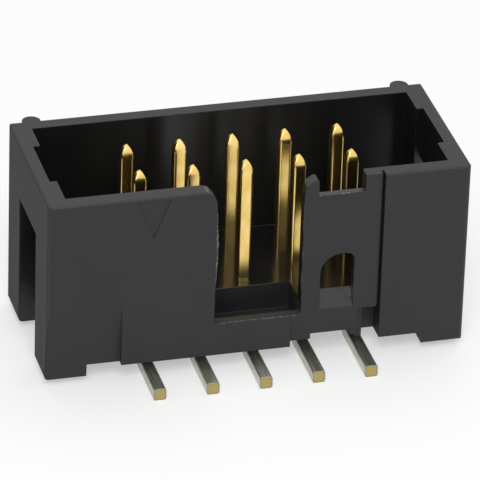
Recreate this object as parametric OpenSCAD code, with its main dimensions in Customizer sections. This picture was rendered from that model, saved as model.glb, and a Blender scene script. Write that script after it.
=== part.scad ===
// Ten-way surface-mount box header: a moulded housing that shrouds two rows of
// square contacts, each bent under the base and run out to the board as a lead.
// Frame: X along the rows, Y across them with the key slot at -Y, Z up,
// origin on the board under the middle of the header.

/* [Contact grid] */
// Distance between neighbouring contacts, along a row and across the rows
pitch = 2.54; // [2.4:0.02:3.2]

/* [Housing] */
// From the last contact of a row to the outside of the end wall
end_margin = 4.97; // [4.7:0.01:6.5]
// Outside width across the two long walls
body_w = 8.4; // [8:0.1:10]
// Height of the rim above the board
rim_z = 9.7; // [9.3:0.1:12]
// Height of the lower edge of the walls above the board
skirt_z = 1; // [0.8:0.05:1.2]
// Height of the corner feet above the board
foot_z = 0.35; // [0.05:0.05:0.6]
// Length of each corner foot along X
foot_l = 2; // [1:0.1:2.5]
// Height of the cavity floor above the board
floor_z = 3.2; // [3:0.05:3.8]
// Thickness of the two long walls
side_wall = 0.75; // [0.6:0.05:0.9]
// Thickness of the end walls at their corners
end_wall = 0.95; // [0.8:0.05:1.2]
// Radius of the upright outer corners
corner_r = 0.25; // [0.1:0.05:0.5]
// Radius of the outer edge round the rim
rim_r = 0.12; // [0.05:0.01:0.3]
// Radius of the outer edge under the feet
foot_r = 0.22; // [0.05:0.01:0.3]

/* [End walls] */
// Width of the thin middle of each end wall and of the slot below it
end_gap_w = 3.45; // [2.5:0.05:4.2]
// Depth by which the thin middle is set back on the inside
end_recess_d = 0.33; // [0.15:0.01:0.5]
// Height of the end wall that is left above the slot
end_lintel_h = 2.67; // [1.5:0.01:4]

/* [Key slot] */
// Width of the key slot in the middle of the front wall
key_w = 4.2; // [4.1:0.05:4.6]
// Height of the bottom of the key slot above the board
key_z = 2.65; // [2.3:0.05:2.9]
// Radius of the rim corners on both sides of the key slot
key_r = 0.72; // [0.2:0.02:0.9]
// Radius of the two lower corners of the key slot
key_foot_r = 0.2; // [0.05:0.01:0.4]
// Thickness of the bridge that closes the key slot below
bridge_t = 0.55; // [0.4:0.05:0.75]
// Distance from the front row to the front edge of the floor behind the slot
pocket_gap = 0.68; // [0.5:0.02:1]
// Height of the bottom of the pocket behind the bridge
pocket_z = 1.85; // [1.8:0.05:2.2]

/* [Coding panel] */
// Width of the finger that is left between key slot and coding notch
finger_w = 0.66; // [0.5:0.02:1]
// Radius of the finger's corner at the coding notch
finger_r = 0.16; // [0.05:0.01:0.3]
// Width of the coding notch in the rim
notch_w = 2.24; // [1.6:0.02:2.4]
// Depth of the coding notch below the rim
notch_depth = 0.88; // [0.4:0.02:2]
// Thickness of the panel below the coding notch
panel_wall = 0.42; // [0.3:0.02:0.46]
// Distance from the key slot to the end of the panel
panel_w = 3.81; // [3.75:0.02:4.2]
// Depth by which the panel lies behind the rest of the front wall
panel_set = 0.12; // [0.05:0.01:0.3]
// How far the panel reaches under the key slot
panel_lap = 0.5; // [0.2:0.05:1]
// Width of the groove down the end of the panel
groove_w = 0.14; // [0.1:0.02:0.3]
// Depth of that groove
groove_d = 0.42; // [0.32:0.02:0.5]

/* [Lock window] */
// Width of the window in the coding panel
window_w = 1.63; // [1.5:0.01:1.8]
// Distance from the finger's edge to the window
window_gap = 0.21; // [0.1:0.01:0.5]
// Height of the window over the front of its sill
window_h = 2.88; // [2:0.02:3.4]
// Height of the window's sloping sill at the front
sill_z = 2.8; // [2.7:0.05:3.1]
// Height of the sill's inner edge over the cavity floor
sill_lip = 0.32; // [0.1:0.02:0.5]
// Radius of the window's large upper corner
window_r = 1; // [0.5:0.05:1.1]
// Radius of the window's small upper corner
window_small_r = 0.4; // [0.1:0.05:0.4]

/* [Front wall foot] */
// Width of the deep recess at the foot of the panel
recess_w = 0.77; // [0.5:0.01:1]
// Depth of that recess
recess_d = 1; // [0.5:0.05:1.2]
// Height of its ceiling above the board
recess_top = 2.63; // [2:0.01:2.7]
// Width of the shallow step beside the deep recess
step_w = 0.29; // [0.1:0.01:0.5]
// Depth of that step
step_d = 0.35; // [0.2:0.05:0.5]
// Height of the panel's lower edge over the leads
panel_edge_z = 1.25; // [1.2:0.05:1.5]
// Height of the panel's lower edge between two leads
panel_arch_z = 1.53; // [1.5:0.01:1.8]
// Width of that higher stretch
panel_arch_w = 1.95; // [1:0.05:2]
// Distance from the key slot to that higher stretch
panel_arch_gap = 0.5; // [0.3:0.02:0.8]
// Length of the stretch of wall that leans in towards its foot
slope_l = 3.55; // [2.5:0.05:3.9]
// Height at which the lean starts
slope_top = 4.3; // [3:0.1:6]
// Depth of the lean at the feet
slope_d = 0.45; // [0.2:0.05:0.5]

/* [Mark and ribs] */
// Width of the triangle that marks contact 1
mark_w = 1.6; // [1:0.05:2]
// Height of the triangle
mark_h = 1.95; // [1:0.05:2.5]
// Depth of the triangle
mark_d = 0.05; // [0.03:0.01:0.2]
// Distance from the rim to the triangle
mark_gap = 0.2; // [0.1:0.02:0.6]
// Radius of the two upright ribs on the back wall
rib_r = 0.44; // [0.3:0.02:0.6]
// Distance from each end to the middle of its rib
rib_inset = 1.09; // [0.8:0.01:2]

/* [Contacts] */
// Side of the square contact wire
wire = 0.6; // [0.5:0.02:0.7]
// Radius of the wire's edges
wire_r = 0.11; // [0.03:0.01:0.14]
// Distance from the rim down to the contact tips
tip_drop = 0.1; // [0:0.02:1.5]
// Length of the tapered tip
tip_l = 0.66; // [0.5:0.02:1]
// Inside radius of the bend under the base
bend_r = 0.8; // [0.6:0.05:0.85]
// Reach of the leads from the middle of the header
lead_reach = 6; // [5:0.1:8]
// Height of the underside over the bends above the board
bend_roof_z = 1.5; // [1.5:0.05:1.75]

/* [Hidden] */
$fn = 48;

positions = 5;
cut = 1; // how far a cutting shape runs past what it cuts
row_l = (positions - 1) * pitch;
row_y = pitch / 2;
body_l = row_l + 2 * end_margin;
cavity_l = body_l - 2 * end_wall;
cavity_w = body_w - 2 * side_wall;
end_slot_top = rim_z - end_lintel_h;
front_y = -body_w / 2;
inner_y = -cavity_w / 2;

finger_x = key_w / 2 + finger_w;
panel_x0 = key_w / 2 - panel_lap;
panel_x1 = key_w / 2 + panel_w;
panel_y = front_y + panel_set;
pocket_y = -row_y - pocket_gap;

tip_z = rim_z - tip_drop;
bend_mid_r = bend_r + wire / 2;
bend_z = bend_mid_r + wire / 2;
bend_end_y = row_y + bend_mid_r;
bend_gap = 0.35; // clearance round the bends in the underside
channel_w = 2 * (bend_end_y + bend_gap);
channel_l = row_l + 2 * pitch;

// Rectangle with rounded corners, centred on the origin
module rounded_rect(w, h, r) {
    square([w - 2 * r, h], center = true);
    square([w, h - 2 * r], center = true);
    for (x = [-1, 1], y = [-1, 1])
        translate([x * (w / 2 - r), y * (h / 2 - r)])
            circle(r);
}

// Rectangle on the ground line with its own radius for lower and upper corners
module standing_rect(w, h, low_r, high_r) {
    difference() {
        translate([-w / 2, 0])
            square([w, h]);
        for (side = [0, 1])
            mirror([side, 0]) {
                translate([-w / 2, h])
                    corner_waste(high_r);
                translate([-w / 2, 0])
                    mirror([0, 1])
                        corner_waste(low_r);
            }
    }
}

// What rounding takes off an upper left corner that lies at the origin
module corner_waste(r) {
    difference() {
        translate([-cut, -r])
            square([cut + r, cut + r]);
        translate([r, -r])
            circle(r);
    }
}

// Extrudes an outline drawn in X and Z through Y, from y0 to y1
module through_y(y0, y1) {
    translate([0, y1, 0])
        rotate([90, 0, 0])
            linear_extrude(y1 - y0)
                children();
}

// Extrudes an outline drawn in Y and Z through X, from x0 to x1
module through_x(x0, x1) {
    translate([x0, 0, 0])
        rotate([90, 0, 90])
            linear_extrude(x1 - x0)
                children();
}

// Extrudes an outline drawn in X and Z through the front wall
module through_front() {
    through_y(front_y - cut, inner_y + cut / 2)
        children();
}

// Extrudes an outline drawn in X and Z into the front wall, down to a depth
module into_front(depth) {
    through_y(front_y - cut, front_y + depth)
        children();
}

// Outer block down to the feet, rounded in plan, from the front and from the end
module outer_block() {
    block_h = rim_z - foot_z;
    translate([0, 0, foot_z])
        intersection() {
            linear_extrude(block_h)
                rounded_rect(body_l, body_w, corner_r);
            through_y(-body_w, body_w)
                standing_rect(body_l, block_h, foot_r, rim_r);
            through_x(-body_l, body_l)
                standing_rect(body_w, block_h, foot_r, rim_r);
        }
}

// Takes the lower edge up to the skirt, apart from the four corner feet
module under_skirt() {
    feet_gap_l = body_l - 2 * foot_l;
    translate([-feet_gap_l / 2, -body_w, skirt_z - cut])
        cube([feet_gap_l, 2 * body_w, cut]);
    translate([-body_l, -end_gap_w / 2, skirt_z - cut])
        cube([2 * body_l, end_gap_w, cut]);
}

// Half-round ribs up the outside of the back wall
module back_ribs() {
    for (side = [-1, 1])
        translate([side * (body_l / 2 - rib_inset), body_w / 2, skirt_z])
            cylinder(h = rim_z - skirt_z, r = rib_r);
}

// Room for the mating socket, deeper in the thin middle of each end wall
module cavity() {
    translate([0, 0, floor_z])
        linear_extrude(rim_z - floor_z + cut) {
            square([cavity_l, cavity_w], center = true);
            square([cavity_l + 2 * end_recess_d, end_gap_w], center = true);
        }
}

// Slots that leave two pillars at each end and open into the cavity
module end_slots() {
    for (side = [-1, 1])
        translate([side * (cavity_l + end_wall + cut) / 2, 0, end_slot_top / 2])
            cube([end_wall + cut, end_gap_w, end_slot_top], center = true);
}

// Key slot with a pocket behind the bridge that closes it below
module key_slot() {
    through_y(front_y - cut, pocket_y)
        union() {
            translate([0, key_z])
                standing_rect(key_w, rim_z + cut - key_z, key_foot_r, key_foot_r);
            for (side = [0, 1])
                mirror([side, 0])
                    translate([key_w / 2, rim_z])
                        corner_waste(key_r);
        }
    translate([-key_w / 2, front_y + bridge_t, pocket_z])
        cube([key_w, pocket_y - front_y - bridge_t, rim_z]);
}

// Coding notch in the rim beside the finger
module coding_notch() {
    through_front() {
        translate([finger_x, rim_z - notch_depth])
            square([notch_w, notch_depth + cut]);
        translate([finger_x, rim_z])
            mirror([1, 0])
                corner_waste(finger_r);
    }
}

// Relief inside the panel that thins it below the coding notch
module panel_relief() {
    relief_y = panel_y + panel_wall;
    translate([finger_x, relief_y, floor_z + sill_lip])
        cube([notch_w, inner_y - relief_y + cut / 2, rim_z]);
}

// Window through the panel, over a sill that slopes down to the front
module lock_window() {
    difference() {
        translate([finger_x + window_gap, 0, sill_z])
            through_front()
                difference() {
                    square([window_w, window_h]);
                    translate([0, window_h])
                        corner_waste(window_r);
                    translate([window_w, window_h])
                        mirror([1, 0])
                            corner_waste(window_small_r);
                }
        through_x(0, body_l / 2)
            polygon([
                [panel_y, sill_z],
                [inner_y, floor_z + sill_lip],
                [inner_y + cut, floor_z + sill_lip],
                [inner_y + cut, sill_z - cut],
                [panel_y, sill_z - cut]
            ]);
    }
}

// Skin taken off the front of the panel, and the groove down its end
module panel_face() {
    into_front(panel_set)
        translate([panel_x0, 0])
            square([panel_x1 - panel_x0, rim_z + cut]);
    into_front(groove_d)
        translate([panel_x1 - groove_w, 0])
            square([groove_w, rim_z + cut]);
}

// Recess, step and raised edge at the foot of the panel, over the leads
module panel_foot() {
    recess_x = panel_x1 - recess_w;
    step_x = recess_x - step_w;
    into_front(recess_d) {
        translate([recess_x, 0])
            square([recess_w, recess_top]);
        translate([panel_x0, 0])
            square([step_x - panel_x0, panel_edge_z]);
        translate([key_w / 2 + panel_arch_gap, 0])
            square([panel_arch_w, panel_arch_z]);
    }
    into_front(step_d)
        translate([step_x, 0])
            square([step_w + recess_w / 2, recess_top]);
}

// Wedge that makes the front wall lean in towards its left feet
module front_lean() {
    through_x(-body_l, slope_l - body_l / 2)
        polygon([
            [front_y, slope_top],
            [front_y + slope_d, foot_z],
            [front_y + slope_d, foot_z - cut],
            [front_y - cut, foot_z - cut],
            [front_y - cut, slope_top]
        ]);
}

// Shallow channel in the underside that clears the bends
module bend_channel() {
    translate([-channel_l / 2, -channel_w / 2, 0])
        cube([channel_l, channel_w, bend_roof_z]);
}

// Square holes that hold the contacts
module contact_holes() {
    for (column = [0:positions - 1], side = [-1, 1])
        translate([column * pitch - row_l / 2, side * row_y, (floor_z + cut) / 2])
            cube([wire, wire, floor_z + cut], center = true);
}

// Triangle sunk in the front wall over contact 1
module contact_one_mark() {
    into_front(mark_d)
        translate([-row_l / 2, rim_z - mark_gap])
            polygon([[-mark_w / 2, 0], [0, -mark_h], [mark_w / 2, 0]]);
}

module housing() {
    color([0.13, 0.13, 0.14])
        difference() {
            union() {
                outer_block();
                back_ribs();
            }
            under_skirt();
            cavity();
            end_slots();
            key_slot();
            coding_notch();
            panel_relief();
            lock_window();
            panel_face();
            panel_foot();
            front_lean();
            bend_channel();
            contact_holes();
            contact_one_mark();
        }
}

// Right half of a tip seen from the side, with a curved flank up to the apex
module tip_flank(half_w) {
    flank_r = (half_w * half_w + tip_l * tip_l) / (2 * half_w);
    intersection() {
        translate([half_w - flank_r, 0])
            circle(flank_r);
        square([half_w, tip_l]);
    }
}

// Tip with four curved flanks and rounded ridges between them
module contact_tip() {
    ridge_r = wire / sqrt(2) - wire_r * (sqrt(2) - 1);
    intersection() {
        linear_extrude(tip_l)
            rounded_rect(wire, wire, wire_r);
        through_y(-wire, wire)
            for (side = [0, 1])
                mirror([side, 0])
                    tip_flank(wire / 2);
        through_x(-wire, wire)
            for (side = [0, 1])
                mirror([side, 0])
                    tip_flank(wire / 2);
        rotate_extrude()
            tip_flank(ridge_r);
    }
}

// Upright part of a contact, on the Z axis, down to the bend
module contact_post() {
    shoulder_z = tip_z - tip_l;
    translate([0, 0, bend_z])
        linear_extrude(shoulder_z - bend_z)
            rounded_rect(wire, wire, wire_r);
    translate([0, 0, shoulder_z])
        contact_tip();
}

// Whole contact of the front row, its lead running out towards -Y
module contact() {
    translate([0, -row_y, 0])
        contact_post();
    translate([0, -bend_end_y, bend_z])
        rotate([0, 90, 0])
            rotate_extrude(angle = 90)
                translate([bend_mid_r, 0])
                    rounded_rect(wire, wire, wire_r);
    translate([0, -bend_end_y, wire / 2])
        rotate([90, 0, 0])
            linear_extrude(lead_reach - bend_end_y)
                rounded_rect(wire, wire, wire_r);
}

// Contact by its number: odd ones in the front row, even ones in the back row
module numbered_contact(number) {
    column = ceil(number / 2) - 1;
    turn = number % 2 == 1 ? 0 : 180;
    color([0.85, 0.65, 0.25])
        translate([column * pitch - row_l / 2, 0, 0])
            rotate([0, 0, turn])
                contact();
}

housing();
for (number = [1:2 * positions])
    numbered_contact(number);
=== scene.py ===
import math

import bmesh
import bpy
from mathutils import Matrix, Vector, noise


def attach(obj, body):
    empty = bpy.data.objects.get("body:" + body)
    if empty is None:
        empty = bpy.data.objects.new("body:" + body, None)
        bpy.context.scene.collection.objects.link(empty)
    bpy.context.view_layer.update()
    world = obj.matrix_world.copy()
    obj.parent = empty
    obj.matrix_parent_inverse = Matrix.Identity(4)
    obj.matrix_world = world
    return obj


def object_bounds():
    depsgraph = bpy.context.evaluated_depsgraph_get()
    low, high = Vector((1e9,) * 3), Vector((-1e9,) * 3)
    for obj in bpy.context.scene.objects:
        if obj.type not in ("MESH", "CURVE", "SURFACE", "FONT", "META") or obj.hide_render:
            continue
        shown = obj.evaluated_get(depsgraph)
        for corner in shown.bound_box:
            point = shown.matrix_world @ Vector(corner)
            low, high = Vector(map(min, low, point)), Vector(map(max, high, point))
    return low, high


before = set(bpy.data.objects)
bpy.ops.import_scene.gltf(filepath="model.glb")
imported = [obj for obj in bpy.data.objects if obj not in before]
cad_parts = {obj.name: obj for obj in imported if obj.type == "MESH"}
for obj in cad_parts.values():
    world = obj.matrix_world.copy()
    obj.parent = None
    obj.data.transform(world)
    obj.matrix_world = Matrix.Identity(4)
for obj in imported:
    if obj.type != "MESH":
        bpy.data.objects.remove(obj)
cad_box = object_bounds()

MM = 0.001

# ---------------------------------------------------------------- camera
CAMERA_TARGET = Vector((0.145, -0.154, 4.656)) * MM
CAMERA_DISTANCE = 242.3 * MM
CAMERA_AZIMUTH = math.radians(15.70)
CAMERA_ELEVATION = math.radians(29.46)
CAMERA_ROLL = math.radians(1.93)
CAMERA_LENS = 387.2

# ---------------------------------------------------------------- light
WHITE = (1, 1, 1, 1)
WHITE_SURROUND = 1.0
AMBIENT = 0.47
FLOOR_RADIUS = 0.6
FLOOR_WHITE = (0.96, 0.96, 0.96, 1)
FLOOR_GLOW = 0.45

# ---------------------------------------------------------------- header
PITCH = 2.54 * MM
WIRE = 0.6 * MM
BARE_CORE = WIRE * 0.28
BARE_RIM = WIRE * 0.44
WIRE_EDGE = 0.05 * MM
HOUSING_EDGE = 0.06 * MM
HALF_L = 10.05 * MM
CAVITY_HALF_L = 9.1 * MM
CAVITY_HALF_W = 3.45 * MM
PANEL_Y = 4.08 * MM
END_GAP_HALF_W = 1.725 * MM
CAVITY_FLOOR = 3.2 * MM
TIN_LINE = 2.4 * MM
FLASH_DEPTH = 0.05 * MM
FLASH_STEP = 0.07 * MM
FLASH_GRAIN = 0.22 * MM

# In millimetres: the flash's least height, its root in the plastic, and the edges that carry it
FLASH_LEAST = 0.004
FLASH_ROOT = 0.02
SLOT_HALF_W = 2.1
BLOCK_FACE = -4.18
PANEL_FACE = -4.06
NOTCH_FLOOR = 8.82
BRIDGE_TOP = 2.65

# ---------------------------------------------------------------- black plastic
PLASTIC_DARK = (0.006, 0.006, 0.0065, 1)
PLASTIC_PALE = (0.009, 0.009, 0.0095, 1)
# Painted shade: the darkest plastic tone, put inside the cavity, jambs and end slots
PLASTIC_PAINTED_SHADE_INSIDE = (0.006, 0.006, 0.006, 1)
# Flash: dark plastic with pale specks, a painted highlight along the trimmed edges
FLASH_DARK = (0.02, 0.02, 0.02, 1)
FLASH_PAINTED_HIGHLIGHT = (0.15, 0.145, 0.14, 1)
PLASTIC_ROUGHNESS = 0.5
END_ROUGHER = 0.28
INSIDE_SMOOTHER = 0.26
FLOOR_SMOOTHER = 0.12

# ---------------------------------------------------------------- plating
GOLD_DEEP = (0.83, 0.57, 0.16, 1)
GOLD_PALE = (0.94, 0.70, 0.28, 1)
TIN_STAINED = (0.34, 0.33, 0.25, 1)
TIN_GREY = (0.49, 0.49, 0.41, 1)
TIN_BRIGHT = (0.62, 0.61, 0.54, 1)
BRASS = (0.45, 0.37, 0.13, 1)
BRASS_RIM = (0.35, 0.31, 0.21, 1)


class Value:
    """A number that varies over a surface; arithmetic on it adds Math nodes."""

    def __init__(self, nodes, socket):
        self.nodes = nodes
        self.socket = socket

    def math(self, operation, first, second):
        return self.nodes.add("Math", {"operation": operation}, {0: first, 1: second})

    def __add__(self, other):
        return self.math("ADD", self, other)

    def __sub__(self, other):
        return self.math("SUBTRACT", self, other)

    def __rsub__(self, other):
        return self.math("SUBTRACT", other, self)

    def __mul__(self, other):
        return self.math("MULTIPLY", self, other)

    def __truediv__(self, other):
        return self.math("DIVIDE", self, other)

    __radd__ = __add__
    __rmul__ = __mul__

    def at_least(self, other):
        return self.math("MAXIMUM", self, other)

    def size(self):
        """The value without its sign."""
        return self.math("ABSOLUTE", self, 0)

    def nearest_whole(self):
        return self.math("ROUND", self, 0)


class Nodes:
    """A node tree, built node by node."""

    def __init__(self, tree):
        self.tree = tree

    def add(self, kind, settings=None, sockets=None, output=0):
        node = self.tree.nodes.new("ShaderNode" + kind)
        for name, setting in (settings or {}).items():
            setattr(node, name, setting)
        for key, value in (sockets or {}).items():
            self.feed(node.inputs[key], value)
        return Value(self, node.outputs[output])

    def feed(self, socket, value):
        if isinstance(value, Value):
            self.tree.links.new(value.socket, socket)
        else:
            socket.default_value = value

    def seen_directly(self):
        """1 where a camera, mirror or glass ray looks, so metal shows the white surround too."""
        path = self.add("LightPath").socket.node
        rays = ("Is Camera Ray", "Is Glossy Ray", "Is Transmission Ray")
        camera, glossy, glass = [Value(self, path.outputs[ray]) for ray in rays]
        return camera.at_least(glossy).at_least(glass)


class Finish(Nodes):
    """A material with a Principled surface."""

    def __init__(self, name):
        self.material = bpy.data.materials.new(name)
        self.material.use_nodes = True
        super().__init__(self.material.node_tree)
        self.surface = self.tree.nodes["Principled BSDF"]

    def object_point(self):
        return self.add("TexCoord", output="Object")

    def split(self, point):
        """The X, Y and Z of a point."""
        axes = self.add("SeparateXYZ", {}, {"Vector": point}).socket.node
        return [Value(self, axes.outputs[axis]) for axis in "XYZ"]

    def noise(self, point, grain, detail=2.0, roughness=0.5):
        """Noise of about 0 to 1 whose lumps are grain metres apart."""
        sockets = {"Vector": point, "Scale": 1 / grain, "Detail": detail, "Roughness": roughness}
        return self.add("TexNoise", {}, sockets)

    def band(self, value, low, high):
        """0 below low, 1 above high, and a ramp between."""
        sockets = {"Value": value, "From Min": low, "From Max": high}
        return self.add("MapRange", {"interpolation_type": "SMOOTHSTEP"}, sockets)

    def blend(self, amount, color_a, color_b):
        sockets = {"Factor": amount, 6: color_a, 7: color_b}
        return self.add("Mix", {"data_type": "RGBA"}, sockets, output=2)

    def surface_set(self, **sockets):
        for name, value in sockets.items():
            self.feed(self.surface.inputs[name.replace("_", " ")], value)


def moulded_black():
    """Black thermoplastic with a fine grain: rougher ends, smoother cavity and end slots, and painted
    shade: a darker colour inside the cavity, jambs and end slots.
    """
    f = Finish("moulded_black")
    point = f.object_point()
    x, y, z = f.split(point)

    # Each mask ramps over a few hundredths of a millimetre, clear of the faces that it tells apart.
    over_pocket = f.band(z, CAVITY_FLOOR - 0.06 * MM, CAVITY_FLOOR - 0.03 * MM)
    in_length = f.band(x.size(), CAVITY_HALF_L + 0.3 * MM, CAVITY_HALF_L + 0.25 * MM)
    in_walls = f.band(y.size(), CAVITY_HALF_W + 0.1 * MM, CAVITY_HALF_W + 0.05 * MM)
    in_jambs = f.band(y.size(), PANEL_Y - 0.04 * MM, PANEL_Y - 0.08 * MM)
    in_cavity = in_length * over_pocket
    on_floor = in_cavity * in_walls * f.band(z, CAVITY_FLOOR + 0.03 * MM, CAVITY_FLOOR + 0.01 * MM)
    under_rim = f.band(z, cad_box[1].z - 0.02 * MM, cad_box[1].z - 0.04 * MM)
    in_gap = f.band(x.size(), HALF_L - 0.04 * MM, HALF_L - 0.08 * MM)
    in_gap = in_gap * f.band(y.size(), END_GAP_HALF_W + 0.08 * MM, END_GAP_HALF_W + 0.04 * MM)
    inside_painted_shade_and_smoother = (in_cavity * in_walls.at_least(in_jambs)).at_least(in_gap) * under_rim

    cloud = f.noise(point, 3 * MM, detail=3)
    grain = f.noise(point, 0.05 * MM, detail=2)
    pits = f.noise(point, 0.25 * MM, detail=2)
    soft_edge = f.add("Bevel", {"samples": 6}, {"Radius": HOUSING_EDGE})
    relief = grain * 0.7 + pits * 0.3
    bumped = f.add("Bump", {}, {
        "Strength": 0.5,
        "Distance": 0.004 * MM,
        "Height": relief,
        "Normal": soft_edge,
    })
    on_end = f.band(x.size(), HALF_L - 0.05 * MM, HALF_L - 0.02 * MM)
    outer = f.blend(f.band(cloud, 0.35, 0.65), PLASTIC_DARK, PLASTIC_PALE)
    # Painted shade: the cavity, jambs and end slots take the darker inside colour.
    color = f.blend(inside_painted_shade_and_smoother, outer, PLASTIC_PAINTED_SHADE_INSIDE)
    texture = PLASTIC_ROUGHNESS + f.band(cloud, 0.3, 0.7) * 0.06 + grain * 0.08
    f.surface_set(
        Base_Color=color,
        Roughness=texture + on_end * END_ROUGHER - inside_painted_shade_and_smoother * INSIDE_SMOOTHER - on_floor * FLOOR_SMOOTHER,
        Normal=bumped,
    )
    return f.material


def plated_wire():
    """Gold-plated post, tin-plated lead, and a sheared end of bare brass."""
    f = Finish("plated_wire")
    point = f.object_point()
    x, y, z = f.split(point)
    lead_reach = cad_box[1].y
    from_core = (x - (x / PITCH).nearest_whole() * PITCH).size()
    over_core = (z - WIRE / 2).size()
    is_tin = f.band(z, TIN_LINE + 0.2 * MM, TIN_LINE - 0.2 * MM)
    is_cut = f.band(y.size(), lead_reach - 0.02 * MM, lead_reach - 0.005 * MM)

    along_post = f.add("Mapping", {}, {"Vector": point, "Scale": (1, 1, 0.04)})
    along_lead = f.add("Mapping", {}, {"Vector": point, "Scale": (1, 0.05, 1)})
    post_lines = f.noise(along_post, 0.03 * MM, detail=3)
    lead_lines = f.noise(along_lead, 0.07 * MM, detail=3)
    stain = f.noise(point, 0.8 * MM, detail=3)

    gold = f.blend(f.band(stain, 0.3, 0.7), GOLD_DEEP, GOLD_PALE)
    dull = f.blend(f.band(stain, 0.35, 0.65), TIN_STAINED, TIN_GREY)
    tin = f.blend(f.band(lead_lines, 0.35, 0.65), dull, TIN_BRIGHT)
    rim = f.band(from_core.at_least(over_core), BARE_CORE, BARE_RIM)
    brass = f.blend(rim, BRASS, BRASS_RIM)
    color = f.blend(is_cut, f.blend(is_tin, gold, tin), brass)
    roughness = 0.16 + post_lines * 0.1 + is_tin * 0.2 + is_cut * 0.18
    relief = f.add("Bump", {}, {
        "Strength": 0.4,
        "Distance": 0.003 * MM,
        "Height": post_lines * (1 - is_tin) + lead_lines * is_tin * 2 + stain * 0.5,
        "Normal": f.add("Bevel", {"samples": 6}, {"Radius": WIRE_EDGE}),
    })
    f.surface_set(Base_Color=color, Roughness=roughness, Normal=relief)
    f.surface.inputs["Metallic"].default_value = 1
    return f.material


def dress_frame():
    """Puts the finishes on the housing and the contacts."""
    black = moulded_black()
    wire = plated_wire()
    for name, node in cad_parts.items():
        finish = black if name == "housing" else wire
        node.data.materials.clear()
        node.data.materials.append(finish)


def flash_painted_highlight():
    """Thin plastic fin with pale specks: a painted highlight along the edges that it trims."""
    f = Finish("flash_painted_highlight")
    specks = f.noise(f.object_point(), 0.12 * MM, detail=2)
    # Painted highlight: the pale specks stand for the bright line along the edge.
    color = f.blend(f.band(specks, 0.45, 0.62), FLASH_DARK, FLASH_PAINTED_HIGHLIGHT)
    f.surface_set(Base_Color=color, Roughness=0.5)
    return f.material


def flash_line(name, start, end, outward, width, bulge, finish):
    """Ragged fin of flash along an edge; start, end, width and bulge are in millimetres."""
    start, end, outward = Vector(start) * MM, Vector(end) * MM, Vector(outward) * MM
    bm = bmesh.new()
    bmesh.ops.create_cube(bm, size=1)
    lengthwise = [edge for edge in bm.edges if edge.verts[0].co.x != edge.verts[1].co.x]
    cuts = int((end - start).length / FLASH_STEP)
    bmesh.ops.subdivide_edges(bm, edges=lengthwise, cuts=cuts, use_grid_fill=True)
    for vert in bm.verts:
        share = vert.co.x + 0.5
        foot = start.lerp(end, share)
        ragged = 0.5 + 0.5 * noise.noise(foot / FLASH_GRAIN)
        swell = bulge * math.sin(math.pi * share) ** 2
        taper = min(1, 8 * share, 8 * (1 - share))
        reach = max((width * ragged + swell) * taper, FLASH_LEAST) if vert.co.z > 0 else -FLASH_ROOT
        vert.co = foot + Vector((0, (vert.co.y + 0.5) * FLASH_DEPTH, 0)) + outward * reach
    bmesh.ops.recalc_face_normals(bm, faces=bm.faces)
    mesh = bpy.data.meshes.new(name)
    bm.to_mesh(mesh)
    bm.free()
    mesh.materials.append(finish)
    flash = bpy.data.objects.new(name, mesh)
    bpy.context.collection.objects.link(flash)
    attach(flash, "root")


def trim_edges():
    """Flash on the edges of the key slot, the finger, the coding notch and the bridge, pale as a
    painted highlight.
    """
    finish = flash_painted_highlight()
    left, right = -SLOT_HALF_W, SLOT_HALF_W
    block_foot, block_top = (left, BLOCK_FACE, 4.4), (left, BLOCK_FACE, 8.9)
    finger_foot, finger_top = (right, PANEL_FACE, 3.4), (right, PANEL_FACE, 8.8)
    notch_left, notch_right = (2.8, PANEL_FACE, NOTCH_FLOOR), (4.96, PANEL_FACE, NOTCH_FLOOR)
    bridge_left, bridge_right = (-1.85, BLOCK_FACE, BRIDGE_TOP), (1.85, BLOCK_FACE, BRIDGE_TOP)
    flash_line("flash_block", block_foot, block_top, (1, 0, 0), 0.05, 0.07, finish)
    flash_line("flash_finger", finger_foot, finger_top, (-1, 0, 0), 0.04, 0, finish)
    flash_line("flash_notch", notch_left, notch_right, (0, 0, 1), 0.05, 0, finish)
    flash_line("flash_bridge", bridge_left, bridge_right, (0, 0, 1), 0.04, 0, finish)


def white_world():
    """Even light all round, and a brighter white where it is seen directly or mirrored."""
    world = bpy.data.worlds.new("studio")
    bpy.context.scene.world = world
    world.use_nodes = True
    sky = Nodes(world.node_tree)
    sky.tree.nodes.remove(sky.tree.nodes["Background"])
    ambient = sky.add("Background", {}, {"Color": WHITE, "Strength": AMBIENT})
    surround = sky.add("Background", {}, {"Color": WHITE, "Strength": WHITE_SURROUND})
    both = sky.add("MixShader", {}, {"Fac": sky.seen_directly(), 1: ambient, 2: surround})
    sky.feed(sky.tree.nodes["World Output"].inputs["Surface"], both)


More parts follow.
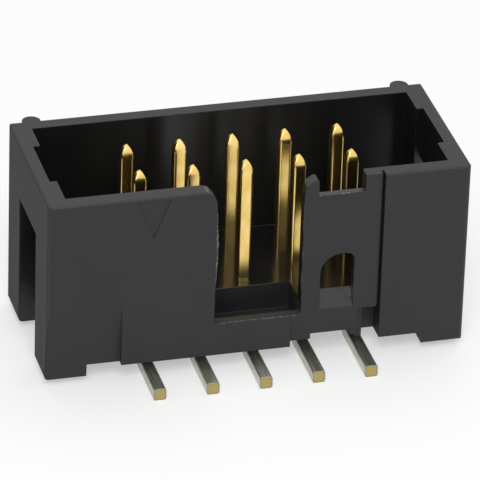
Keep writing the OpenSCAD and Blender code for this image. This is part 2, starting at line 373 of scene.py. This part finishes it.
def softbox(name, toward, distance, size, power):
    """Square area light that looks at the header from the direction toward."""
    data = bpy.data.lights.new(name, "AREA")
    data.shape = "SQUARE"
    data.size = size
    data.energy = power
    light = bpy.data.objects.new(name, data)
    bpy.context.collection.objects.link(light)
    direction = Vector(toward).normalized()
    light.location = CAMERA_TARGET + direction * distance
    light.rotation_euler = direction.to_track_quat("Z", "Y").to_euler()


def pale_floor():
    """White disc under the leads that keeps the header's shadow."""
    mesh = bpy.data.meshes.new("floor")
    floor = bpy.data.objects.new("floor", mesh)
    bpy.context.collection.objects.link(floor)
    bm = bmesh.new()
    bmesh.ops.create_circle(bm, cap_ends=True, radius=FLOOR_RADIUS, segments=64)
    bm.to_mesh(mesh)
    bm.free()
    f = Finish("floor_white")
    f.surface_set(Base_Color=FLOOR_WHITE, Roughness=0.9)
    f.surface.inputs["Specular IOR Level"].default_value = 0
    glow = f.add("Emission", {}, {"Color": WHITE, "Strength": WHITE_SURROUND})
    share = f.seen_directly() * FLOOR_GLOW
    matte = Value(f, f.surface.outputs["BSDF"])
    lit = f.add("MixShader", {}, {"Fac": share, 1: matte, 2: glow})
    f.feed(f.tree.nodes["Material Output"].inputs["Surface"], lit)
    mesh.materials.append(f.material)


def add_camera():
    """Long lens, turned round the header to the left and raised above it."""
    data = bpy.data.cameras.new("camera")
    data.lens = CAMERA_LENS
    data.sensor_width = 36
    data.clip_start = 0.01
    data.clip_end = 10
    camera = bpy.data.objects.new("camera", data)
    bpy.context.collection.objects.link(camera)
    turn = Matrix.Rotation(-CAMERA_AZIMUTH, 4, "Z")
    tilt = Matrix.Rotation(math.pi / 2 - CAMERA_ELEVATION, 4, "X")
    roll = Matrix.Rotation(CAMERA_ROLL, 4, "Z")
    back = Matrix.Translation((0, 0, CAMERA_DISTANCE))
    camera.matrix_world = Matrix.Translation(CAMERA_TARGET) @ turn @ tilt @ roll @ back
    bpy.context.scene.camera = camera


add_camera()
dress_frame()
trim_edges()
white_world()
pale_floor()
softbox("key_light", toward=(-0.2, -0.7, 0.75), distance=0.45, size=0.2, power=1.11)
softbox("top_light", toward=(0.2, 0.3, 1), distance=0.4, size=0.3, power=0.4)
bpy.context.scene.view_settings.view_transform = "Standard"
